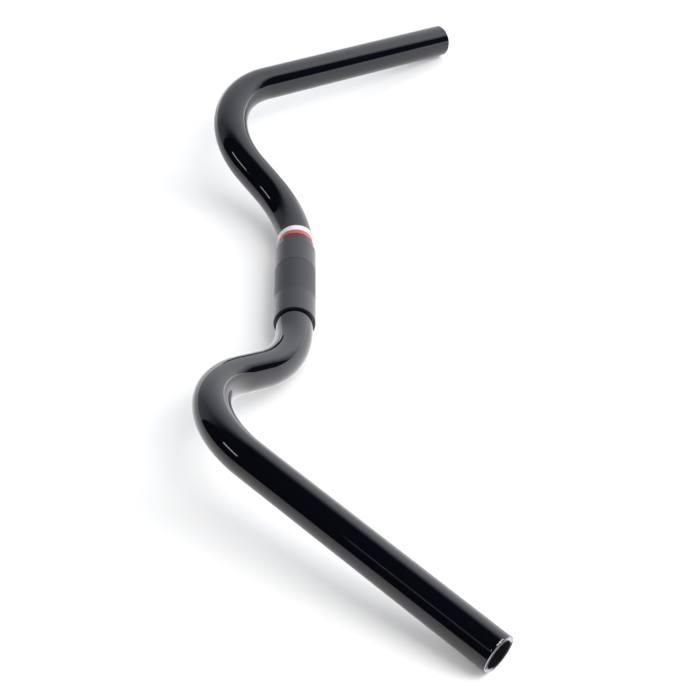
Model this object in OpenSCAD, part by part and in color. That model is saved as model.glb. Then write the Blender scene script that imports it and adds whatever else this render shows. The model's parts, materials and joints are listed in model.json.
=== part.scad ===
/* [Bar tube] */
// Outside diameter of the bar tube, which is also the grip diameter
tube_od = 22.2; // [20:0.1:24]
// Wall thickness of the bar tube
tube_wall = 2.4; // [1.2:0.1:3.4]
// Edge broken on the sawn ends of the tube
end_break = 0.4; // [0.1:0.05:0.8]

/* [Bends, the same on both sides] */
// Straight length of tube left between each end of the clamp sleeve and its inner bend
shoulder_len = 7; // [3:0.5:30]
// Centreline radius of the inner bend, which carries the bar forward and up
rise_radius = 71; // [50:1:110]
// Angle of the inner bend
rise_angle = 45.5; // [36:0.5:54]
// Straight length from the inner bend to the outer bend
link_len = 19; // [4:1:40]
// Turn of the bending plane between the two bends
plane_turn = 166.5; // [158:0.5:172]
// Centreline radius of the outer bend, which brings the bar back to the rider
sweep_radius = 61; // [45:1:90]
// Angle of the outer bend
sweep_angle = 92.8; // [84:0.1:104]
// Straight length at each end that takes a grip
grip_len = 170.6; // [130:0.1:220]

/* [Clamp sleeve] */
// Outside diameter of the sleeve, which is the stem clamp diameter
sleeve_od = 25.4; // [25:0.1:31.8]
// Length of the sleeve
sleeve_len = 73; // [50:1:110]
// Chamfer on both rims of the sleeve
sleeve_chamfer = 0.4; // [0.1:0.05:0.8]

/* [Decal ring] */
// Width of the white decal along the tube, from the end of the sleeve onto the inner bend
decal_w = 16; // [12:0.5:30]
// Width of the red field, which also starts at the end of the sleeve
red_w = 11; // [4:0.5:11.5]
// Thickness of the decal
decal_t = 0.1; // [0.05:0.05:0.3]
// Thickness of the red print on the decal
print_t = 0.03; // [0.03:0.01:0.1]

/* [Hidden] */
$fn = 96;
// Fineness round a section, and along a bend, where the decal and the tube under it follow one curve
section_fn = $fn;
bend_fn = 360;
tube_r = tube_od / 2;
bore_r = tube_r - tube_wall;
sleeve_r = sleeve_od / 2;
// Straight length through the clamp, between the two inner bends
centre_len = sleeve_len + 2 * shoulder_len;
// Lengths and bends are joined end to end in metres and then enlarged to millimetres, so that ends which
// only touch close up into one solid
mm = 0.001;

// A vector turned by an angle about a unit axis
function turned(v, axis, angle) =
    v * cos(angle) + cross(axis, v) * sin(angle) + axis * (axis * v) * (1 - cos(angle));

// The right half of the centreline, with the inner bend lying flat: the tangent runs along the tube and
// the normal points to the inside of the bend
start_tangent = [1, 0, 0];
start_normal = [0, 1, 0];
link_tangent = cos(rise_angle) * start_tangent + sin(rise_angle) * start_normal;
link_normal = cos(rise_angle) * start_normal - sin(rise_angle) * start_tangent;
sweep_normal = turned(link_normal, link_tangent, plane_turn);
grip_tangent = cos(sweep_angle) * link_tangent + sin(sweep_angle) * sweep_normal;
rise_start = start_tangent * centre_len / 2;
rise_end = rise_start
    + rise_radius * (sin(rise_angle) * start_tangent + (1 - cos(rise_angle)) * start_normal);
sweep_start = rise_end + link_len * link_tangent;
sweep_end = sweep_start
    + sweep_radius * (sin(sweep_angle) * link_tangent + (1 - cos(sweep_angle)) * sweep_normal);
// Middle of the last full circle of the grip, just inside its broken edge
grip_edge = sweep_end + (grip_len - end_break) * grip_tangent;

// Height that a vector reaches once the bar is rolled about its clamp axis
function rolled_height(v, roll) = v.y * sin(roll) + v.z * cos(roll);

// Height of the lowest point of a grip end above the underside of the sleeve
function end_gap(roll) =
    rolled_height(grip_edge, roll)
    - tube_r * sqrt(1 - pow(rolled_height(grip_tangent, roll), 2))
    + sleeve_r;

// Roll between two limits at which the grip ends reach the underside of the sleeve, halved step by step
function resting_roll(low, high, steps) =
    let (middle = (low + high) / 2)
    steps == 0 ? middle
    : end_gap(middle) > 0 ? resting_roll(middle, high, steps - 1)
    : resting_roll(low, middle, steps - 1);

// The bar lies on its sleeve and its two grip ends, so the inner bends rise from the flat by this angle
rise_tilt = resting_roll(0, 70, 30);

// Round section of a stretch of tube or ring
module ring_section(inner, outer) {
    difference() {
        circle(r = outer, $fn = section_fn);
        circle(r = inner, $fn = section_fn);
    }
}

// A straight stretch along +Z, and what follows it
module straight(length, inner, outer) {
    scale(mm)
        linear_extrude(length)
            ring_section(inner, outer);
    translate(mm * [0, 0, length])
        children();
}

// A bent stretch that starts along +Z and turns towards +X, and what follows it
module bend(radius, angle, inner, outer) {
    scale(mm)
        translate([radius, 0, 0])
            rotate([90, 0, 0])
                rotate([0, 0, 180 - angle])
                    rotate_extrude(angle = angle, $fn = bend_fn)
                        translate([radius, 0])
                            ring_section(inner, outer);
    translate(mm * [radius * (1 - cos(angle)), 0, radius * sin(angle)])
        rotate([0, angle, 0])
            children();
}

// A grip length, with its sawn end broken inside and out
module grip() {
    scale(mm)
        rotate_extrude()
            polygon([
                [bore_r, 0],
                [tube_r, 0],
                [tube_r, grip_len - end_break],
                [tube_r - end_break, grip_len],
                [bore_r + end_break, grip_len],
                [bore_r, grip_len - end_break]
            ]);
}

// From a stretch's own frame in metres, with +Z along the tube and +X to the inside of the inner bend, to
// the bar's in millimetres: +X to the rider's right, +Y forward and +Z up
module along_bar() {
    scale(1 / mm)
        rotate([rise_tilt, 0, 0])
            rotate([90, 0, 90])
                children();
}

// The middle of the tube and its right side, from the left end of the clamp length to the right grip
module middle_and_right() {
    translate(mm * [0, 0, -centre_len / 2])
        straight(centre_len, bore_r, tube_r)
            bend(rise_radius, rise_angle, bore_r, tube_r)
                straight(link_len, bore_r, tube_r)
                    rotate([0, 0, plane_turn])
                        bend(sweep_radius, sweep_angle, bore_r, tube_r)
                            grip();
}

// One length of tube, bent four times
module bar_tube() {
    color("#101114")
        along_bar() {
            middle_and_right();
            mirror([0, 0, 1])
                middle_and_right();
        }
}

// Turned sleeve pressed on the middle of the tube to bring it up to the clamp diameter
module centre_sleeve() {
    color("#2b2c2f")
        along_bar()
            scale(mm)
                translate([0, 0, -sleeve_len / 2])
                    rotate_extrude()
                        polygon([
                            [tube_r, 0],
                            [sleeve_r - sleeve_chamfer, 0],
                            [sleeve_r, sleeve_chamfer],
                            [sleeve_r, sleeve_len - sleeve_chamfer],
                            [sleeve_r - sleeve_chamfer, sleeve_len],
                            [tube_r, sleeve_len]
                        ]);
}

// A ring round the tube over a stretch of the centreline that starts on the middle straight, and follows
// the inner bend where it reaches that far
module wrap(from, to, thickness) {
    bend_at = centre_len / 2;
    straight_end = min(to, bend_at);
    on_bend = (to - straight_end) / rise_radius * 180 / PI;
    outer = tube_r + thickness;
    translate(mm * [0, 0, from])
        straight(straight_end - from, tube_r, outer)
            if (on_bend > 0)
                bend(rise_radius, on_bend, tube_r, outer);
}

// White decal wrapped round the tube against the right end of the sleeve, with a red field printed on it
module decal_ring() {
    from = sleeve_len / 2;
    along_bar() {
        color("#f4ecee")
            wrap(from, from + decal_w, decal_t);
        color("#cf4a3c")
            wrap(from, from + red_w, decal_t + print_t);
    }
}

bar_tube();
centre_sleeve();
decal_ring();
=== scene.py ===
"""A swept bicycle handlebar: one bent tube, the sleeve that its stem clamps, and a decal ring.

The bar lies on a pale floor on its sleeve and its two grip ends. +X is the rider's right, +Y is
forward and +Z is up, and the origin is the middle of the clamp sleeve. Lengths are in metres and
angles in radians.
"""

from __future__ import annotations

import json
import logging
import math
from collections.abc import Callable
from dataclasses import dataclass
from enum import Enum
from typing import Any

import bmesh
import bpy
from mathutils import Matrix, Vector
from mathutils.kdtree import KDTree

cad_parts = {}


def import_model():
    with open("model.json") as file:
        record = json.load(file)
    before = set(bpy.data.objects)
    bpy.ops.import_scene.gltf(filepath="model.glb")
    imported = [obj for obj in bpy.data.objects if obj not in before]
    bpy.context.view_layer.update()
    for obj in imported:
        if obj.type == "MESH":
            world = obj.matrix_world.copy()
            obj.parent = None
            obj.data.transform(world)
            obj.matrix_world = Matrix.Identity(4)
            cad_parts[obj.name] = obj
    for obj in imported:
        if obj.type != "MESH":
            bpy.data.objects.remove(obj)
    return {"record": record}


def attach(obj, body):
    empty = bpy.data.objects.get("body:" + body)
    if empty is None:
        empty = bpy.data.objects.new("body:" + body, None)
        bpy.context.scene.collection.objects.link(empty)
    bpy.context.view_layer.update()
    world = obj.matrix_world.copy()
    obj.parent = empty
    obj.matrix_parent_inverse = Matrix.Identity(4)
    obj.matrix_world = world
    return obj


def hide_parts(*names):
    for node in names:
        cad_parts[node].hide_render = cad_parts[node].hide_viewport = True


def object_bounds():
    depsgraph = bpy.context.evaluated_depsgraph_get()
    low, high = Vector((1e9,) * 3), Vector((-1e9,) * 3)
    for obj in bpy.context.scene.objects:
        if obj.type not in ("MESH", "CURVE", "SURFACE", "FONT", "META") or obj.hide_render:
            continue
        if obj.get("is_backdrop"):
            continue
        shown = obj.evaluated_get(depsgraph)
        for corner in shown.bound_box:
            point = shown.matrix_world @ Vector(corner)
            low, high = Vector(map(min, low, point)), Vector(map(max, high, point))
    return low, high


log = logging.getLogger("handlebar")

MM = 0.001
BODY = "root"
MERGE_DISTANCE = 0.002 * MM
SHARP_EDGE = math.radians(35)
# Share of a thin step by which the centre of a face may miss it
SLACK = 0.1

Colour = tuple[float, float, float, float]
Inputs = dict[str | int, Any]


def linear(hex_colour: str) -> Colour:
    """Turn an sRGB hex colour into linear values.

    Args:
        hex_colour: Six hex digits, with a leading #.

    Returns:
        Linear red, green and blue, and an alpha of 1.
    """
    channels = [int(hex_colour[i : i + 2], 16) / 255 for i in (1, 3, 5)]
    # The curve that the sRGB standard gives
    red, green, blue = (
        c / 12.92 if c <= 0.04045 else ((c + 0.055) / 1.055) ** 2.4 for c in channels
    )
    return (red, green, blue, 1.0)


def toned(colour: Colour, factor: float) -> Colour:
    """A linear colour made lighter or deeper by a factor."""
    red, green, blue = (min(1.0, factor * c) for c in colour[:3])
    return (red, green, blue, 1.0)


def feed(tree: bpy.types.NodeTree, node: bpy.types.Node, inputs: Inputs) -> None:
    """Set a node's input sockets, or link them from other nodes.

    Args:
        tree: The tree that the node is in.
        node: The node.
        inputs: Values for its input sockets, or output sockets to link them from.
    """
    for socket, value in inputs.items():
        if isinstance(value, bpy.types.NodeSocket):
            tree.links.new(value, node.inputs[socket])
        else:
            node.inputs[socket].default_value = value


def add_node(
    tree: bpy.types.NodeTree,
    kind: str,
    settings: dict[str, Any] | None = None,
    inputs: Inputs | None = None,
) -> bpy.types.Node:
    """Add a shader node with its settings, input values and links.

    Args:
        tree: The node tree to add to.
        kind: Blender's name for the node type, without its ShaderNode prefix.
        settings: Attributes of the node itself.
        inputs: Values for its input sockets, or output sockets to link them from.

    Returns:
        The new node.
    """
    node = tree.nodes.new("ShaderNode" + kind)
    for name, value in (settings or {}).items():
        setattr(node, name, value)
    feed(tree, node, inputs or {})
    return node


def spread(length: float, step: float) -> list[float]:
    """Distances from 0 to a length, evenly spread and no further apart than a step."""
    count = math.ceil(length / step)
    return [length * i / count for i in range(count + 1)]


def deselect_all() -> None:
    """Leave edit mode and deselect every object."""
    if bpy.context.object and bpy.context.object.mode != "OBJECT":
        bpy.ops.object.mode_set(mode="OBJECT")
    bpy.ops.object.select_all(action="DESELECT")


def make_active(*pieces: bpy.types.Object) -> None:
    """Select these pieces and no others, and make the first one active."""
    deselect_all()
    for piece in pieces:
        piece.select_set(True)
    bpy.context.view_layer.objects.active = pieces[0]


def apply_modifiers(piece: bpy.types.Object) -> None:
    """Apply all of a piece's modifiers in order."""
    make_active(piece)
    for modifier in list(piece.modifiers):
        bpy.ops.object.modifier_apply(modifier=modifier.name)


def face_outwards(piece: bpy.types.Object) -> None:
    """Merge a piece's doubles and point its faces outwards."""
    make_active(piece)
    bpy.ops.object.mode_set(mode="EDIT")
    bpy.ops.mesh.select_all(action="SELECT")
    bpy.ops.mesh.remove_doubles(threshold=MERGE_DISTANCE)
    bpy.ops.mesh.normals_make_consistent(inside=False)
    bpy.ops.object.mode_set(mode="OBJECT")


def join_skins(piece: bpy.types.Object, other: bpy.types.Object) -> None:
    """Join another skin to a piece."""
    make_active(piece, other)
    bpy.ops.object.join()


def smooth(piece: bpy.types.Object) -> None:
    """Shade a piece smooth, apart from its sharp edges."""
    make_active(piece)
    bpy.ops.object.shade_smooth_by_angle(angle=SHARP_EDGE)


def dress_faces(
    piece: bpy.types.Object, material: bpy.types.Material, test: Callable[[Vector], bool]
) -> None:
    """Give a material to the faces whose centres pass a test.

    Args:
        piece: The piece that has the faces.
        material: The material that they get, in a slot of its own.
        test: Takes the centre of a face and says whether it gets the material.
    """
    piece.data.materials.append(material)
    slot = len(piece.data.materials) - 1
    for face in piece.data.polygons:
        if test(face.center):
            face.material_index = slot


@dataclass
class Station:
    """A point on the centreline, the way that the tube runs there and the inside of its bend."""

    place: Vector
    along: Vector
    inside: Vector

    def axis(self) -> Vector:
        """Axis that a bend which starts here turns about."""
        return self.along.cross(self.inside)

    def centre(self, radius: float) -> Vector:
        """Centre of a bend of that radius which starts here."""
        return self.place + radius * self.inside

    def ahead(self, length: float) -> Station:
        """Station at the end of a straight of that length."""
        return Station(self.place + length * self.along, self.along, self.inside)

    def turned(self, angle: float) -> Station:
        """The same station with its bending plane turned about the tube."""
        turn = Matrix.Rotation(angle, 3, self.along)
        return Station(self.place, self.along, turn @ self.inside)

    def bent(self, radius: float, angle: float) -> Station:
        """Find the station at the end of a bend.

        Args:
            radius: Centreline radius of the bend.
            angle: Angle of the bend.

        Returns:
            The station there.
        """
        turn = Matrix.Rotation(angle, 3, self.axis())
        centre = self.centre(radius)
        place = centre + turn @ (self.place - centre)
        return Station(place, turn @ self.along, turn @ self.inside)

    def mirrored(self) -> Station:
        """The station on the other side of the bar."""
        flip = Vector((-1, 1, 1))
        return Station(self.place * flip, self.along * flip, self.inside * flip)


@dataclass
class Route:
    """The right half of the bar's centreline, from the middle of the sleeve to the grip end."""

    # Half of the straight that the sleeve lies on, with a shoulder of bare tube past its end
    clamp_half: float = 43.5 * MM
    rise_radius: float = 71 * MM
    rise_angle: float = math.radians(45.5)
    link_len: float = 19 * MM
    plane_turn: float = math.radians(166.5)
    sweep_radius: float = 61 * MM
    sweep_angle: float = math.radians(92.8)
    grip_len: float = 170.6 * MM
    tilt: float = 0.0

    @classmethod
    def in_frame(cls, record: dict[str, Any]) -> Route:
        """Roll the route about the clamp axis until its grip lies on the record's grip mount.

        Args:
            record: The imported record.

        Returns:
            The route as the bar rests.
        """
        route = cls()
        flat = route.grip_end().along
        packed = Vector(next(m["axis"] for m in record["mounts"] if m["name"] == "grip_right"))
        route.tilt = math.atan2(packed.z, packed.y) - math.atan2(flat.z, flat.y)
        return route

    def start(self) -> Station:
        """Station in the middle of the sleeve, which faces the rider's right."""
        inside = Vector((0, math.cos(self.tilt), math.sin(self.tilt)))
        return Station(Vector(), Vector((1, 0, 0)), inside)

    def rise_start(self) -> Station:
        """Station where the inner bend starts."""
        return self.start().ahead(self.clamp_half)

    def link_start(self) -> Station:
        """Station where the inner bend ends and the straight link starts."""
        return self.rise_start().bent(self.rise_radius, self.rise_angle)

    def sweep_start(self) -> Station:
        """Station where the outer bend starts."""
        return self.link_start().ahead(self.link_len).turned(self.plane_turn)

    def grip_start(self) -> Station:
        """Station where the straight grip starts."""
        return self.sweep_start().bent(self.sweep_radius, self.sweep_angle)

    def grip_end(self) -> Station:
        """Station in the sawn end of the grip."""
        return self.grip_start().ahead(self.grip_len)

    def spine(self, step: float = 0.5 * MM) -> Spine:
        """Set out points on both sides of the centreline.

        Args:
            step: Longest distance between them.

        Returns:
            The spine.
        """
        rise, sweep = self.rise_start(), self.sweep_start()
        rise_turns = spread(self.rise_angle, step / self.rise_radius)
        sweep_turns = spread(self.sweep_angle, step / self.sweep_radius)
        stations = [self.start().ahead(s) for s in spread(self.clamp_half, step)]
        stations += [rise.bent(self.rise_radius, turn) for turn in rise_turns]
        stations += [self.link_start().ahead(s) for s in spread(self.link_len, step)]
        stations += [sweep.bent(self.sweep_radius, turn) for turn in sweep_turns]
        stations += [self.grip_start().ahead(s) for s in spread(self.grip_len, step)]
        return Spine([s.place for s in stations] + [s.mirrored().place for s in stations])


class Spine:
    """The whole centreline as close points, to tell how far a place is from it."""

    def __init__(self, points: list[Vector]) -> None:
        """Sort the points into a tree.

        Args:
            points: Points on the centreline.
        """
        self.tree = KDTree(len(points))
        for index, point in enumerate(points):
            self.tree.insert(point, index)
        self.tree.balance()

    def distance(self, place: Vector) -> float:
        """Distance from a place to the nearest point of the centreline."""
        return self.tree.find(place)[2]


class Skin:
    """A skin that is drawn in edit mode, from a ring of vertices along the route."""

    def __init__(self, name: str, radius: float, start: Station, around: int) -> None:
        """Add the first ring and select all of it in edit mode.

        Args:
            name: Name of the piece.
            radius: Radius of the ring.
            start: Where the ring lies.
            around: How many vertices it has.
        """
        deselect_all()
        bpy.ops.mesh.primitive_circle_add(vertices=around, radius=radius, fill_type="NOTHING")
        self.piece = bpy.context.object
        self.piece.name = name
        self.piece.data.name = name
        facing = start.along.to_track_quat("Z", "Y").to_matrix().to_4x4()
        self.piece.data.transform(Matrix.Translation(start.place) @ facing)
        self.here = start
        self.radius = radius
        bpy.ops.object.mode_set(mode="EDIT")
        bpy.ops.mesh.select_all(action="SELECT")

    def straight(self, length: float, steps: int = 1) -> Skin:
        """Draw the ring along a straight, in that many steps."""
        move = self.here.along * (length / steps)
        for _ in range(steps):
            bpy.ops.mesh.extrude_region_move(TRANSFORM_OT_translate={"value": move})
        self.here = self.here.ahead(length)
        return self

    def bend(self, radius: float, angle: float, steps: int) -> Skin:
        """Spin the ring round a bend.

        Args:
            radius: Centreline radius of the bend.
            angle: Angle of the bend.
            steps: How many faces lie along it.

        Returns:
            The skin.
        """
        centre, axis = self.here.centre(radius), self.here.axis()
        bpy.ops.mesh.spin(steps=steps, angle=-angle, center=centre, axis=axis)
        self.here = self.here.bent(radius, angle)
        return self

    def turn(self, angle: float) -> Skin:
        """Turn the plane of the next bend about the tube."""
        self.here = self.here.turned(angle)
        return self

    def flare(self, radius: float, advance: float = 0.0) -> Skin:
        """Extrude the ring to another radius, as far along the tube as advance says."""
        move = self.here.along * advance
        bpy.ops.mesh.extrude_region_move(TRANSFORM_OT_translate={"value": move})
        self.here = self.here.ahead(advance)
        scale = radius / self.radius
        bpy.ops.transform.resize(value=(scale,) * 3, center_override=self.here.place)
        self.radius = radius
        return self

    def finish(self) -> bpy.types.Object:
        """Leave edit mode and hand over the piece."""
        bpy.ops.object.mode_set(mode="OBJECT")
        return self.piece


class Shading:
    """A material in the making: its nodes, its Principled shader and the object coordinates."""

    def __init__(self, name: str, values: Inputs) -> None:
        """Start a material.

        Args:
            name: Its name.
            values: Values for sockets of its shader.
        """
        self.material = bpy.data.materials.new(name)
        self.material.use_nodes = True
        self.tree = self.material.node_tree
        self.shader = self.tree.nodes["Principled BSDF"]
        self.place = add_node(self.tree, "TexCoord").outputs["Object"]
        self.drive(values)

    def drive(self, inputs: Inputs) -> None:
        """Set sockets of the shader, or link them from other nodes."""
        feed(self.tree, self.shader, inputs)


@dataclass(frozen=True)
class Chip:
    """A place near a grip end where the lacquer is knocked off to the metal."""

    place: tuple[float, float, float]
    radius: float


# A row of small scuffs on the upper side of the left grip end, and a lone one beside its edge
CHIPS = (
    Chip((-310.0 * MM, -101.8 * MM, 8.7 * MM), 0.4 * MM),
    Chip((-309.4 * MM, -102.5 * MM, 8.9 * MM), 0.42 * MM),
    Chip((-308.6 * MM, -103.2 * MM, 9.1 * MM), 0.52 * MM),
    Chip((-307.7 * MM, -103.9 * MM, 9.2 * MM), 0.45 * MM),
    Chip((-306.9 * MM, -104.6 * MM, 9.1 * MM), 0.38 * MM),
    Chip((-311.8 * MM, -98.7 * MM, 7.2 * MM), 0.2 * MM),
)


@dataclass(frozen=True)
class GlossLacquer:
    """Black enamel under clear lacquer, sprayed and baked on drawn aluminium tube.

    It is nearly black where it mirrors a dark room, and its clear coat gives crisp bands of the
    bright things round it, with the faint waviness of a sprayed coat. Only the clear coat mirrors,
    so the enamel has no gloss of its own. Where a chip bares the metal, it is dull from wear.
    """

    chips: tuple[Chip, ...] = ()
    colour: str = "#03040a"
    roughness: float = 0.12
    lacquer_ior: float = 1.5
    lacquer_roughness: float = 0.03
    metal: str = "#c9cacd"
    metal_roughness: float = 0.38
    metal_share: float = 0.4
    # Ripples that spraying leaves in the clear lacquer
    peel_pitch: float = 2.4 * MM
    peel_depth: float = 0.004 * MM
    # The grain that tears a chip's edge, how far it moves the edge and where the edge lies, both
    # in the chip's radii
    chip_grain: float = 0.5 * MM
    chip_tear: float = 1.6
    chip_edge: float = 1.8
    dust: str = "#8d8d90"
    dust_cover: float = 0.5
    dust_pitch: float = 7 * MM
    dust_size: float = 0.09 * MM

    def material(self) -> bpy.types.Material:
        """Make the material."""
        values = {
            "IOR": self.lacquer_ior,
            "Specular IOR Level": 0.0,
            "Coat Weight": 1.0,
            "Coat Roughness": self.lacquer_roughness,
            "Coat IOR": self.lacquer_ior,
        }
        shading = Shading("gloss_black_lacquer", values)
        tree, scale = shading.tree, 1 / self.peel_pitch
        peel = add_node(
            tree, "TexNoise", None, {"Vector": shading.place, "Scale": scale, "Detail": 1.5}
        )
        waves = {"Distance": self.peel_depth, "Height": peel.outputs["Fac"]}
        bump = add_node(tree, "Bump", None, waves).outputs["Normal"]
        bare, dusty = self._bare_mask(shading), self._dust_mask(shading)
        colour, dust, metal = linear(self.colour), linear(self.dust), linear(self.metal)
        coloured = {"data_type": "RGBA"}
        enamel = add_node(tree, "Mix", coloured, {0: dusty, 6: colour, 7: dust}).outputs[2]
        paint = add_node(tree, "Mix", coloured, {0: bare, 6: enamel, 7: metal}).outputs[2]
        share = add_node(tree, "Math", {"operation": "MULTIPLY"}, {0: bare, 1: self.metal_share})
        rough = {"Value": bare, "To Min": self.roughness, "To Max": self.metal_roughness}
        shading.drive({
            "Base Color": paint,
            "Metallic": share.outputs[0],
            "Roughness": add_node(tree, "MapRange", None, rough).outputs["Result"],
            "Normal": bump,
            "Coat Normal": bump,
        })
        return shading.material

    def _bare_mask(self, shading: Shading) -> bpy.types.NodeSocket:
        """Give 1 inside the chips and 0 elsewhere.

        Args:
            shading: The material in the making.

        Returns:
            The mask.
        """
        tree, place, scale = shading.tree, shading.place, 1 / self.chip_grain
        grain = add_node(tree, "TexNoise", None, {"Vector": place, "Scale": scale, "Detail": 2.0})
        mask: bpy.types.NodeSocket | float = 0.0
        for chip in self.chips:
            gap = add_node(tree, "VectorMath", {"operation": "DISTANCE"}, {0: place, 1: chip.place})
            torn = add_node(
                tree,
                "Math",
                {"operation": "MULTIPLY_ADD"},
                {0: grain.outputs["Fac"], 1: self.chip_tear * chip.radius, 2: gap.outputs["Value"]},
            )
            edge = {0: torn.outputs[0], 1: self.chip_edge * chip.radius}
            inside = add_node(tree, "Math", {"operation": "LESS_THAN"}, edge).outputs[0]
            mask = add_node(tree, "Math", {"operation": "MAXIMUM"}, {0: mask, 1: inside}).outputs[0]
        return mask

    def _dust_mask(self, shading: Shading) -> bpy.types.NodeSocket:
        """Give how far dust covers the enamel, in faint specks.

        Args:
            shading: The material in the making.

        Returns:
            The mask.
        """
        tree, scale = shading.tree, 1 / self.dust_pitch
        cells = add_node(tree, "TexVoronoi", None, {"Vector": shading.place, "Scale": scale})
        edge = {0: cells.outputs["Distance"], 1: self.dust_size * scale}
        speck = add_node(tree, "Math", {"operation": "LESS_THAN"}, edge).outputs[0]
        cover = {0: speck, 1: self.dust_cover}
        return add_node(tree, "Math", {"operation": "MULTIPLY"}, cover).outputs[0]


@dataclass(frozen=True)
class TurnedAluminium:
    """Aluminium, faced and broken on a lathe, with black lacquer run over it: the sawn ends.

    The rings that the tool leaves spread a highlight across them. The metal is bare only on two
    wedges of the face and on the upper outer edge, set where the highlights fall, so these are
    painted highlights, and the dark lacquer on the rest is partly painted shade: a thin silver
    line goes round a mostly dark end.
    """

    end: Station
    colour: str = "#c2c4c8"
    # Dark lacquer on the face and edge away from the highlights: partly painted shade
    overspray_and_shade: str = "#0c0c0e"
    overspray_and_shade_gloss: float = 0.15
    roughness: float = 0.34
    ring_streak: float = 0.85
    # The lathe tool's feed
    ring_pitch: float = 0.12 * MM
    ring_depth: float = 0.004 * MM
    # Angle from the lowest point at which the bare metal of the face and of the edge has its
    # middle, and the least cosine from there that is bare. The bare metal is set where the
    # highlights fall, as painted highlights
    face_highlight_angle: float = math.radians(131)
    face_highlight_least: float = 0.93
    edge_highlight_angle: float = math.radians(217)
    edge_highlight_least: float = 0.3
    edge_r: float = 10.8 * MM
    # How softly the bare metal of the painted highlights runs under the lacquer, and how far the
    # grain tears that line
    border: float = 0.1
    tear: float = 0.25
    highlight_edge_grain: float = 1.2 * MM

    def material(self, name: str) -> bpy.types.Material:
        """Make the material under that name."""
        values = {
            "Specular IOR Level": self.overspray_and_shade_gloss,
            "Roughness": self.roughness,
            "Anisotropic": self.ring_streak,
        }
        shading = Shading(name, values)
        tree, middle, axis = shading.tree, self.end.place, self.end.along
        arm = {0: shading.place, 1: middle}
        spoke = add_node(tree, "VectorMath", {"operation": "SUBTRACT"}, arm).outputs[0]
        around = add_node(tree, "VectorMath", {"operation": "CROSS_PRODUCT"}, {0: axis, 1: spoke})
        reach = add_node(tree, "VectorMath", {"operation": "LENGTH"}, {0: spoke}).outputs["Value"]
        turns = {0: reach, 1: 2 * math.pi / self.ring_pitch}
        phase = add_node(tree, "Math", {"operation": "MULTIPLY"}, turns).outputs[0]
        wave = add_node(tree, "Math", {"operation": "SINE"}, {0: phase}).outputs[0]
        bump = add_node(tree, "Bump", None, {"Distance": self.ring_depth, "Height": wave})
        bare = self._bare_mask(shading, spoke, reach)
        # Bare metal on the painted highlights, and elsewhere dark lacquer that is partly painted
        # shade
        layers = {0: bare, 6: linear(self.overspray_and_shade), 7: linear(self.colour)}
        shading.drive({
            "Base Color": add_node(tree, "Mix", {"data_type": "RGBA"}, layers).outputs[2],
            "Metallic": bare,
            "Tangent": around.outputs[0],
            "Normal": bump.outputs["Normal"],
        })
        return shading.material

    def _bare_mask(
        self, shading: Shading, spoke: bpy.types.NodeSocket, reach: bpy.types.NodeSocket
    ) -> bpy.types.NodeSocket:
        """Give 1 where the metal is bare, as painted highlights, and 0 where lacquer that is partly
        painted shade covers it.

        Args:
            shading: The material in the making.
            spoke: From the middle of the end to the point.
            reach: How long the spoke is.

        Returns:
            The mask.
        """
        tree, scale = shading.tree, 1 / self.highlight_edge_grain
        down = Vector((0, 0, -1))
        down = (down - down.dot(self.end.along) * self.end.along).normalized()
        side = self.end.along.cross(down)
        grain = add_node(
            tree, "TexNoise", None, {"Vector": shading.place, "Scale": scale, "Detail": 3.0}
        )
        shift = {"Value": grain.outputs["Fac"], "To Min": -self.tear, "To Max": self.tear}
        ragged = add_node(tree, "MapRange", None, shift).outputs["Result"]
        way = add_node(tree, "VectorMath", {"operation": "NORMALIZE"}, {0: spoke}).outputs[0]
        parts = []
        # The face is bare on two wedges, which lie opposite each other, and the edge in one place:
        # painted highlights, set where the highlights fall
        places = (
            (self.face_highlight_angle, self.face_highlight_least, True),
            (self.edge_highlight_angle, self.edge_highlight_least, False),
        )
        for angle, least, both_ways in places:
            middle = {0: way, 1: math.cos(angle) * down + math.sin(angle) * side}
            lean = add_node(tree, "VectorMath", {"operation": "DOT_PRODUCT"}, middle)
            lean = lean.outputs["Value"]
            if both_ways:
                lean = add_node(tree, "Math", {"operation": "ABSOLUTE"}, {0: lean}).outputs[0]
            torn = add_node(tree, "Math", {"operation": "ADD"}, {0: lean, 1: ragged}).outputs[0]
            line = {"Value": torn, "From Min": least - self.border, "From Max": least}
            parts.append(add_node(tree, "MapRange", None, line).outputs["Result"])
        on_edge = add_node(tree, "Math", {"operation": "GREATER_THAN"}, {0: reach, 1: self.edge_r})
        choice = {0: on_edge.outputs[0], 2: parts[0], 3: parts[1]}
        return add_node(tree, "Mix", None, choice).outputs[0]


@dataclass(frozen=True)
class DrawnBore:
    """The inside of the drawn tube, nearly black all through.

    It is dull and nearly black, so the open end reads as a dark hole.
    """

    colour: str = "#0b0b0c"
    streak: str = "#1a1a1b"
    streak_pitch: float = 0.6 * MM
    roughness: float = 0.5

    def material(self) -> bpy.types.Material:
        """Make the material."""
        shading = Shading("drawn_bore", {"Roughness": self.roughness})
        tree, place, scale = shading.tree, shading.place, 1 / self.streak_pitch
        grain = add_node(tree, "TexNoise", None, {"Vector": place, "Scale": scale, "Detail": 3.0})
        tones = {0: grain.outputs["Fac"], 6: linear(self.colour), 7: linear(self.streak)}
        tone = add_node(tree, "Mix", {"data_type": "RGBA"}, tones)
        shading.drive({"Base Color": tone.outputs[2]})
        return shading.material


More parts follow.
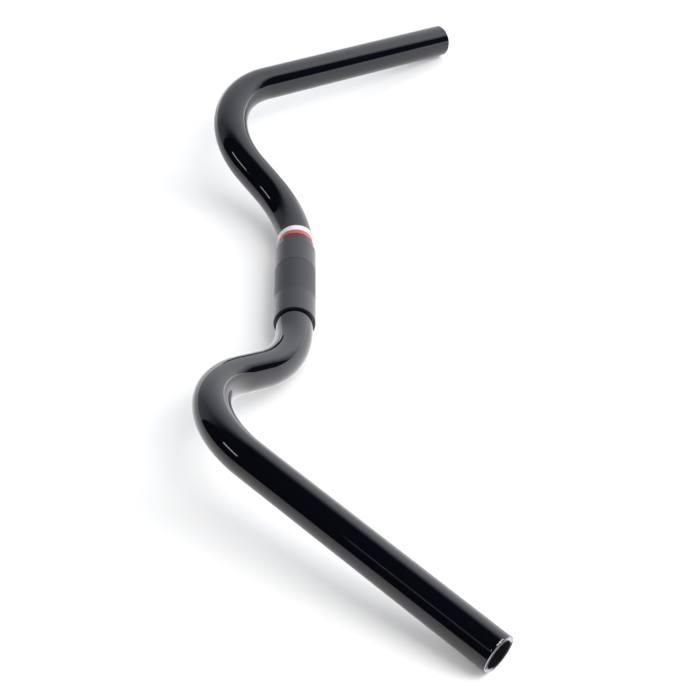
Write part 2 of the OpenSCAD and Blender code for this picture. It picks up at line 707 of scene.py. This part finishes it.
@dataclass(frozen=True)
class SatinBlack:
    """Black anodised aluminium, bead blasted: the clamp sleeve.

    The blasted skin is an even charcoal that brightens towards its edges and mirrors nothing, and
    the knurled band in it is duller and slightly blue.
    """

    name: str
    colour: str
    roughness: float
    sheen: float = 0.2
    sheen_roughness: float = 0.25
    cloud_pitch: float = 9 * MM
    cloud_tone: float = 1.25
    # The pits that blasting leaves are about 0.1 mm wide, too fine to show, so these are coarser
    grain_pitch: float = 0.35 * MM
    grain_depth: float = 0.006 * MM

    def material(self) -> bpy.types.Material:
        """Make the material."""
        values = {
            "Roughness": self.roughness,
            "Sheen Weight": self.sheen,
            "Sheen Roughness": self.sheen_roughness,
        }
        shading = Shading(self.name, values)
        tree, place, base = shading.tree, shading.place, linear(self.colour)
        scale = 1 / self.cloud_pitch
        cloud = add_node(tree, "TexNoise", None, {"Vector": place, "Scale": scale, "Detail": 4.0})
        tones = {0: cloud.outputs["Fac"], 6: base, 7: toned(base, self.cloud_tone)}
        tone = add_node(tree, "Mix", {"data_type": "RGBA"}, tones)
        scale = 1 / self.grain_pitch
        grain = add_node(tree, "TexNoise", None, {"Vector": place, "Scale": scale, "Detail": 2.0})
        pits = {"Distance": self.grain_depth, "Height": grain.outputs["Fac"]}
        bump = add_node(tree, "Bump", None, pits)
        shading.drive({"Base Color": tone.outputs[2], "Normal": bump.outputs["Normal"]})
        return shading.material


@dataclass(frozen=True)
class GlossVinyl:
    """Printed vinyl film under clear lacquer: the decal ring.

    Each field is one flat colour with the soft shine of the lacquer over it.
    """

    name: str
    colour: str
    gloss: float = 0.2
    roughness: float = 0.35
    lacquer: float = 0.6
    lacquer_roughness: float = 0.08
    cloud_pitch: float = 2.5 * MM
    cloud_tone: float = 0.9

    def material(self) -> bpy.types.Material:
        """Make the material."""
        values = {
            "Specular IOR Level": self.gloss,
            "Roughness": self.roughness,
            "Coat Weight": self.lacquer,
            "Coat Roughness": self.lacquer_roughness,
        }
        shading = Shading(self.name, values)
        tree, place, base = shading.tree, shading.place, linear(self.colour)
        scale = 1 / self.cloud_pitch
        cloud = add_node(tree, "TexNoise", None, {"Vector": place, "Scale": scale, "Detail": 3.0})
        tones = {0: cloud.outputs["Fac"], 6: base, 7: toned(base, self.cloud_tone)}
        tone = add_node(tree, "Mix", {"data_type": "RGBA"}, tones)
        shading.drive({"Base Color": tone.outputs[2]})
        return shading.material


@dataclass
class BarTube:
    """The bent tube, lacquered outside, with a bore and two bare ends."""

    route: Route
    outside_r: float = 11.1 * MM
    wall: float = 2.4 * MM
    end_break: float = 0.4 * MM
    # How many vertices lie round the tube, and how far apart its rings lie on bends and straights
    around: int = 96
    bend_step: float = math.radians(2)
    straight_step: float = 8 * MM

    def build(self) -> bpy.types.Object:
        """Draw the outside and the bore, join them at the sawn ends and dress them.

        Returns:
            The tube.
        """
        bore_r = self.outside_r - self.wall
        rim_r = bore_r + self.end_break
        outside = self._half("bent_tube", self.outside_r, self.outside_r - self.end_break)
        tube = outside.flare(rim_r).finish()
        join_skins(tube, self._half("bore", bore_r, rim_r).finish())
        tube.modifiers.new("left_side", "MIRROR").merge_threshold = MERGE_DISTANCE
        apply_modifiers(tube)
        face_outwards(tube)
        smooth(tube)
        self._dress(tube)
        return tube

    def _half(self, name: str, radius: float, end_radius: float) -> Skin:
        """Draw one surface of the right half, with its broken edge.

        Args:
            name: Name of the piece.
            radius: Radius of the surface.
            end_radius: Radius of its edge in the sawn end.

        Returns:
            The surface, still in edit mode.
        """
        route = self.route
        skin = Skin(name, radius, route.start(), self.around)
        skin.straight(route.clamp_half, round(route.clamp_half / self.straight_step))
        skin.bend(route.rise_radius, route.rise_angle, round(route.rise_angle / self.bend_step))
        skin.straight(route.link_len, round(route.link_len / self.straight_step))
        skin.turn(route.plane_turn)
        skin.bend(route.sweep_radius, route.sweep_angle, round(route.sweep_angle / self.bend_step))
        body = route.grip_len - self.end_break
        skin.straight(body, round(body / self.straight_step))
        return skin.flare(end_radius, self.end_break)

    def _dress(self, tube: bpy.types.Object) -> None:
        """Give the lacquer, the bore and the two bare ends their materials.

        Args:
            tube: The tube.
        """
        right = self.route.grip_end()
        left = right.mirrored()
        tube.data.materials.append(GlossLacquer(CHIPS).material())
        between = self.outside_r - self.wall / 2
        spine = self.route.spine()
        dress_faces(tube, DrawnBore().material(), lambda c: spine.distance(c) < between)
        for name, end in (("turned_aluminium_left", left), ("turned_aluminium_right", right)):
            metal = TurnedAluminium(end).material(name)
            dress_faces(tube, metal, lambda c, end=end: self._in_end(c, end))

    def _in_end(self, place: Vector, end: Station) -> bool:
        """Say whether a point lies on a sawn end or its broken edges."""
        gap = place - end.place
        return abs(gap.dot(end.along)) < self.end_break and gap.length < 2 * self.outside_r


@dataclass
class ClampSleeve:
    """The sleeve that the stem clamps, knurled round its middle."""

    route: Route
    outside_r: float = 12.7 * MM
    inside_r: float = 11.1 * MM
    length: float = 73 * MM
    chamfer: float = 0.4 * MM
    knurled_length: float = 30 * MM
    knurl_depth: float = 0.1 * MM
    around: int = 96
    blasted: SatinBlack = SatinBlack("anodised_satin_black", "#161719", 0.32)
    knurled: SatinBlack = SatinBlack("anodised_knurled_black", "#1d1e23", 0.42)

    def build(self) -> bpy.types.Object:
        """Draw the sleeve, cut its knurl and dress it.

        Returns:
            The sleeve.
        """
        plain = (self.length - self.knurled_length) / 2 - self.chamfer
        pitch = 2 * math.pi * self.outside_r / self.around
        root_r = self.outside_r - self.knurl_depth
        edge_r = self.outside_r - self.chamfer
        left = self.route.start().ahead(-self.length / 2)
        skin = Skin("clamp_sleeve", self.inside_r, left, self.around)
        skin.flare(edge_r).flare(self.outside_r, self.chamfer).straight(plain)
        skin.flare(root_r).straight(self.knurled_length, round(self.knurled_length / pitch))
        skin.flare(self.outside_r).straight(plain)
        # The last run goes back through the inside and closes on the first ring
        skin.flare(edge_r, self.chamfer).flare(self.inside_r).straight(-self.length)
        sleeve = skin.finish()
        face_outwards(sleeve)
        self._knurl(sleeve, root_r)
        smooth(sleeve)
        sleeve.data.materials.append(self.blasted.material())
        half = self.knurled_length / 2
        dress_faces(
            sleeve,
            self.knurled.material(),
            lambda c: abs(c.x) < half and math.hypot(c.y, c.z) > edge_r,
        )
        return sleeve

    def _knurl(self, sleeve: bpy.types.Object, root_r: float) -> None:
        """Cut the band's faces into diamonds and raise the middle of each one to a point.

        Each square is split into four triangles, and the squares' own edges are then taken out, so
        that the triangles on both sides of an edge become a diamond.

        Args:
            sleeve: The sleeve.
            root_r: Radius of the band before it is knurled.
        """
        make_active(sleeve)
        bpy.ops.object.mode_set(mode="EDIT")
        mesh = bmesh.from_edit_mesh(sleeve.data)
        bpy.ops.mesh.select_mode(type="FACE")
        self._select_band(mesh, root_r)
        corners = {v.index for v in mesh.verts if v.select}
        bpy.ops.mesh.poke(center_mode="MEDIAN")
        mesh = bmesh.from_edit_mesh(sleeve.data)
        bpy.ops.mesh.select_mode(type="EDGE")
        bpy.ops.mesh.select_all(action="DESELECT")
        half = self.knurled_length / 2
        for edge in mesh.edges:
            inside = all(v.index in corners for v in edge.verts)
            rim = all(abs(v.co.x) > half - MERGE_DISTANCE for v in edge.verts)
            edge.select = inside and not rim
        bmesh.update_edit_mesh(sleeve.data)
        bpy.ops.mesh.dissolve_edges(use_verts=False)
        mesh = bmesh.from_edit_mesh(sleeve.data)
        bpy.ops.mesh.select_mode(type="FACE")
        self._select_band(mesh, root_r)
        bpy.ops.mesh.poke(offset=self.knurl_depth, center_mode="MEDIAN")
        bpy.ops.object.mode_set(mode="OBJECT")

    def _select_band(self, mesh: bmesh.types.BMesh, root_r: float) -> None:
        """Select the faces of the band and no others.

        Args:
            mesh: The sleeve's mesh in edit mode.
            root_r: Radius of the band before it is knurled.
        """
        bpy.ops.mesh.select_all(action="DESELECT")
        half = self.knurled_length / 2
        for face in mesh.faces:
            c = face.calc_center_median()
            reach = math.hypot(c.y, c.z)
            face.select = abs(c.x) < half and abs(reach - root_r) < SLACK * self.knurl_depth
        bmesh.update_edit_mesh(bpy.context.object.data)


@dataclass
class DecalRing:
    """The film round the tube against the right end of the sleeve: white, with a red field."""

    route: Route
    tube_r: float = 11.1 * MM
    film: float = 0.1 * MM
    print_film: float = 0.03 * MM
    start: float = 36.5 * MM
    width: float = 16 * MM
    red_width: float = 11 * MM
    around: int = 96
    bend_steps: int = 4
    white: GlossVinyl = GlossVinyl("white_gloss_vinyl", "#e0ccd1")
    red: GlossVinyl = GlossVinyl("red_gloss_vinyl", "#b63531")

    def build(self) -> bpy.types.Object:
        """Draw the film, which follows the inner bend, and dress its two fields.

        Returns:
            The decal ring.
        """
        white_r = self.tube_r + self.film
        outside = self._skin("decal_film", self.tube_r).flare(white_r + self.print_film)
        self._run(outside, self.red_width)
        outside.flare(white_r)
        ring = self._run(outside, self.width - self.red_width).flare(self.tube_r).finish()
        inside = self._skin("decal_back", self.tube_r)
        self._run(inside, self.red_width)
        join_skins(ring, self._run(inside, self.width - self.red_width).finish())
        face_outwards(ring)
        smooth(ring)
        ring.data.materials.append(self.white.material())
        red_end = self._station(self.red_width)
        dress_faces(
            ring,
            self.red.material(),
            lambda c: (c - red_end.place).dot(red_end.along) < -SLACK * self.print_film,
        )
        return ring

    def _station(self, reach: float) -> Station:
        """Station at a distance along the tube from the end of the sleeve."""
        radius = self.route.rise_radius
        on_bend = self.start + reach - self.route.clamp_half
        return self.route.rise_start().bent(radius, on_bend / radius)

    def _skin(self, name: str, radius: float) -> Skin:
        """Start a skin at the end of the sleeve."""
        return Skin(name, radius, self.route.start().ahead(self.start), self.around)

    def _run(self, skin: Skin, length: float) -> Skin:
        """Draw a skin along the tube, straight as far as the inner bend and then round it.

        Args:
            skin: The skin.
            length: How far it is drawn.

        Returns:
            The skin.
        """
        # On the straight, the way along the tube is the distance from the origin
        flat = self.route.clamp_half - skin.here.place.length
        if flat > MERGE_DISTANCE and skin.here.place.length < self.route.clamp_half:
            skin.straight(flat)
            length -= flat
        angle = length / self.route.rise_radius
        return skin.bend(self.route.rise_radius, angle, self.bend_steps)


@dataclass(frozen=True)
class Softbox:
    """A square lamp that faces the bar and lights what is matt, and isn't mirrored in the tube.

    Azimuth is in degrees from +X towards +Y and elevation in degrees above the floor, and radiance
    is how bright it is to look at, where 1 is white.
    """

    name: str
    azimuth: float
    elevation: float
    radiance: float
    distance: float = 1.4
    side: float = 1.0


SOFTBOXES = (
    Softbox("key_softbox", -128, 60, 5.9, side=0.6),
    Softbox("key_softbox_low", -102, 42, 4.8, side=0.6),
    Softbox("key_softbox_left", -116, 34, 2.3, side=0.6),
    Softbox("camera_softbox", -155, 34, 1.4, distance=1.5),
    Softbox("camera_softbox_low", -175, 18, 1.0, distance=1.5, side=0.9),
    Softbox("right_softbox", -109, 16, 5.7, distance=1.5, side=0.8),
    Softbox("left_softbox", 108, 30, 3.0, distance=2.0, side=0.85),
    Softbox("overhead_softbox", 90, 75, 0.8),
    Softbox("overhead_softbox_right", -100, 72, 0.35),
)


@dataclass(frozen=True)
class Window:
    """A small distant window, which only the lacquer mirrors, as a thin streak.

    Its place and radiance are given as a softbox's are, and spans are the degrees that it covers
    across and up.
    """

    name: str
    azimuth: float
    elevation: float
    radiance: float
    spans: tuple[float, float]
    distance: float = 8.0

    def size(self) -> tuple[float, float]:
        """Width and height."""
        across, up = (self.distance * math.radians(span) for span in self.spans)
        return (across, up)


WINDOWS = (
    Window("side_window", 103.3, 32.5, 6.5, spans=(17.8, 4.5)),
    Window("far_window", 128, 44, 0.5, spans=(8, 6)),
)


class Ease(Enum):
    """How a fade goes from its first level to its last."""

    EVEN = "LINEAR"
    SOFT = "SMOOTHSTEP"


@dataclass(frozen=True)
class Fade:
    """A level that goes from one value to another over a stretch, and is even past its ends."""

    over: tuple[float, float]
    levels: tuple[float, float]
    ease: Ease = Ease.EVEN

    def settings(self) -> dict[str, Any]:
        """Settings of a Map Range node that gives the level at a value."""
        return {"interpolation_type": self.ease.value}

    def inputs(self, value: bpy.types.NodeSocket) -> Inputs:
        """Inputs of that node for the value."""
        (start, end), (first, last) = self.over, self.levels
        ends = {"From Min": start, "From Max": end, "To Min": first, "To Max": last}
        return {"Value": value, **ends}


@dataclass
class Studio:
    """A pale floor under soft lamps, in a dim room with a bright sweep to the right of the bar.

    The sweep is a panel past the right grip end, which the lacquer mirrors. Its brightness falls
    from the rider's side to the front, towards its rear end and towards its top. The lacquer also
    mirrors a pool of light painted on the floor under the left inner bend, which only mirrored rays
    see.
    """

    floor_z: float
    floor_size: float = 14.0
    floor_colour: str = "#f2f2f2"
    # How much the floor glows of itself, by the distance from its middle, until it is white
    glow: Fade = Fade((0.6, 1.6), (0.1, 1.0))
    # A pool of light painted on the floor, which only mirrored rays see: its middle, and how it
    # fades from there
    painted_pool_middle: tuple[float, float, float] = (-0.06, 0.0, 0.0)
    painted_pool: Fade = Fade((0.05, 0.3), (0.55, 0.0))
    room_radiance: float = 0.035
    panel_middle: tuple[float, float, float] = (0.455, 0.15, 0.69)
    panel_size: tuple[float, float] = (2.2, 1.4)
    panel_colour: str = "#f4f8ff"
    panel_forward: Fade = Fade((-0.45, 0.5), (2.0, 0.5))
    panel_rear: Fade = Fade((-0.93, -0.42), (0.3, 1.0), Ease.SOFT)
    panel_top: Fade = Fade((0.5, 1.3), (1.0, 0.13), Ease.SOFT)

    def build(self) -> None:
        """Add the floor, the room and the lamps."""
        self._floor()
        self._room()
        self._panel()
        for box in SOFTBOXES:
            lamp = self._area(box.name, (box.side, box.side), box.radiance)
            lamp.visible_glossy = False
            self._face_bar(lamp, box)
        for window in WINDOWS:
            lamp = self._area(window.name, window.size(), window.radiance)
            lamp.visible_diffuse = False
            self._face_bar(lamp, window)

    def _floor(self) -> None:
        """Add the floor: white paper that keeps the bar's shadow."""
        deselect_all()
        where = (0, 0, self.floor_z)
        bpy.ops.mesh.primitive_plane_add(size=self.floor_size, location=where)
        floor = bpy.context.object
        floor.name = "floor"
        material = bpy.data.materials.new("white_paper_floor")
        material.use_nodes = True
        tree = material.node_tree
        tree.nodes.clear()
        path = add_node(tree, "LightPath").outputs
        glow = self._floor_glow(tree, path["Is Glossy Ray"])
        # The glow is there for the camera and for what mirrors the floor or is seen through
        seen = path["Is Camera Ray"]
        for ray in ("Is Glossy Ray", "Is Transmission Ray"):
            both = {0: seen, 1: path[ray]}
            seen = add_node(tree, "Math", {"operation": "MAXIMUM"}, both).outputs[0]
        strength = add_node(tree, "Math", {"operation": "MULTIPLY"}, {0: glow, 1: seen})
        shine = {"Color": linear("#ffffff"), "Strength": strength.outputs[0]}
        emission = add_node(tree, "Emission", None, shine).outputs[0]
        paper = add_node(tree, "BsdfDiffuse", None, {"Color": linear(self.floor_colour)})
        lit = add_node(tree, "AddShader", None, {0: paper.outputs[0], 1: emission}).outputs[0]
        add_node(tree, "OutputMaterial", None, {"Surface": lit})
        floor.data.materials.append(material)
        floor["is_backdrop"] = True

    def _floor_glow(
        self, tree: bpy.types.NodeTree, mirrored: bpy.types.NodeSocket
    ) -> bpy.types.NodeSocket:
        """Give how much the floor glows: more away from the bar, in the painted pool of light and
        past the panel.

        Args:
            tree: The floor's nodes.
            mirrored: Gives 1 to rays that come by a mirror, which alone see the painted pool of
                light.

        Returns:
            The glow, where 1 is white.
        """
        place = add_node(tree, "TexCoord").outputs["Object"]
        reach = add_node(tree, "VectorMath", {"operation": "LENGTH"}, {0: place}).outputs["Value"]
        fade = self.glow
        glow = add_node(tree, "MapRange", fade.settings(), fade.inputs(reach)).outputs["Result"]
        # The painted pool of light, added only for rays that come by a mirror
        ends = {0: place, 1: self.painted_pool_middle}
        gap = add_node(tree, "VectorMath", {"operation": "DISTANCE"}, ends).outputs["Value"]
        fade = self.painted_pool
        painted_pool = add_node(tree, "MapRange", fade.settings(), fade.inputs(gap)).outputs["Result"]
        terms = {0: painted_pool, 1: mirrored, 2: glow}
        both = add_node(tree, "Math", {"operation": "MULTIPLY_ADD"}, terms).outputs[0]
        along = add_node(tree, "SeparateXYZ", None, {0: place}).outputs["X"]
        limit = {0: along, 1: self.panel_middle[0]}
        past = add_node(tree, "Math", {"operation": "GREATER_THAN"}, limit).outputs[0]
        return add_node(tree, "Math", {"operation": "MAXIMUM"}, {0: both, 1: past}).outputs[0]

    def _room(self) -> None:
        """Make the world white to the camera, and a dim room to the bar."""
        world = bpy.data.worlds.new("dim_room")
        world.use_nodes = True
        tree = world.node_tree
        tree.nodes.clear()
        seen = add_node(tree, "LightPath").outputs["Is Camera Ray"]
        levels = {"Value": seen, "To Min": self.room_radiance, "To Max": 1.0}
        strength = add_node(tree, "MapRange", None, levels).outputs["Result"]
        shine = {"Color": linear("#ffffff"), "Strength": strength}
        backdrop = add_node(tree, "Background", None, shine).outputs[0]
        add_node(tree, "OutputWorld", None, {"Surface": backdrop})
        bpy.context.scene.world = world

    def _panel(self) -> None:
        """Add the panel of the sweep, which faces the bar."""
        lamp = self._area("backdrop_panel", self.panel_size, 1.0)
        lamp.location = self.panel_middle
        lamp.rotation_euler = Vector((-1, 0, 0)).to_track_quat("-Z", "Y").to_euler()
        tree = lamp.data.node_tree
        tree.nodes.clear()
        place = add_node(tree, "NewGeometry").outputs["Position"]
        parts = add_node(tree, "SeparateXYZ", None, {0: place}).outputs
        level: bpy.types.NodeSocket | float = 1.0
        fades = (("Y", self.panel_forward), ("Y", self.panel_rear), ("Z", self.panel_top))
        for axis, fade in fades:
            inputs = fade.inputs(parts[axis])
            share = add_node(tree, "MapRange", fade.settings(), inputs).outputs["Result"]
            both = {0: level, 1: share}
            level = add_node(tree, "Math", {"operation": "MULTIPLY"}, both).outputs[0]
        shine = {"Color": linear(self.panel_colour), "Strength": level}
        emission = add_node(tree, "Emission", None, shine).outputs[0]
        add_node(tree, "OutputLight", None, {"Surface": emission})

    @staticmethod
    def _area(name: str, size: tuple[float, float], radiance: float) -> bpy.types.Object:
        """Add a rectangular lamp of an even brightness, which the camera doesn't see.

        Args:
            name: Name of the lamp.
            size: Its width and height.
            radiance: How bright it is to look at, where 1 is white.

        Returns:
            The lamp.
        """
        data = bpy.data.lights.new(name, "AREA")
        data.shape = "RECTANGLE"
        data.size, data.size_y = size
        data.energy = radiance * math.pi * size[0] * size[1]
        data.use_nodes = True
        lamp = bpy.data.objects.new(name, data)
        lamp.visible_camera = False
        bpy.context.scene.collection.objects.link(lamp)
        return lamp

    @staticmethod
    def _face_bar(lamp: bpy.types.Object, plan: Softbox | Window) -> None:
        """Put a lamp where its plan says, and face it to the origin."""
        azimuth, elevation = math.radians(plan.azimuth), math.radians(plan.elevation)
        level = math.cos(elevation)
        way = Vector((level * math.cos(azimuth), level * math.sin(azimuth), math.sin(elevation)))
        lamp.location = plan.distance * way
        lamp.rotation_euler = (-way).to_track_quat("-Z", "Y").to_euler()


@dataclass
class Camera:
    """The photograph's view of the bar."""

    place: tuple[float, float, float] = (-964.81 * MM, -39.49 * MM, 707.05 * MM)
    turn_deg: tuple[float, float, float] = (51.882, 1.465, -90.738)
    focal_mm: float = 100.02
    sensor_mm: float = 36.0
    near: float = 10 * MM

    def build(self) -> None:
        """Add the camera and make it the scene's."""
        data = bpy.data.cameras.new("photo_view")
        data.lens = self.focal_mm
        data.sensor_width = self.sensor_mm
        data.clip_start = self.near
        camera = bpy.data.objects.new("photo_view", data)
        camera.location = self.place
        camera.rotation_euler = [math.radians(a) for a in self.turn_deg]
        bpy.context.scene.collection.objects.link(camera)
        bpy.context.scene.camera = camera


def report(piece: bpy.types.Object) -> None:
    """Log a finished piece and how many faces it has."""
    log.info("%s: %d faces", piece.name, len(piece.data.polygons))


def main() -> None:
    """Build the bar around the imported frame."""
    logging.basicConfig(level=logging.INFO, format="%(name)s: %(message)s")
    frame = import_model()
    cad_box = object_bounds()
    bpy.context.scene.view_settings.view_transform = "Standard"
    Camera().build()
    route = Route.in_frame(frame["record"])
    tube = BarTube(route).build()
    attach(tube, BODY)
    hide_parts("bar_tube")
    report(tube)
    sleeve = ClampSleeve(route).build()
    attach(sleeve, BODY)
    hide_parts("centre_sleeve")
    report(sleeve)
    decal = DecalRing(route).build()
    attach(decal, BODY)
    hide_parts("decal_ring")
    report(decal)
    Studio(cad_box[0][2]).build()


if __name__ == "__main__":
    main()
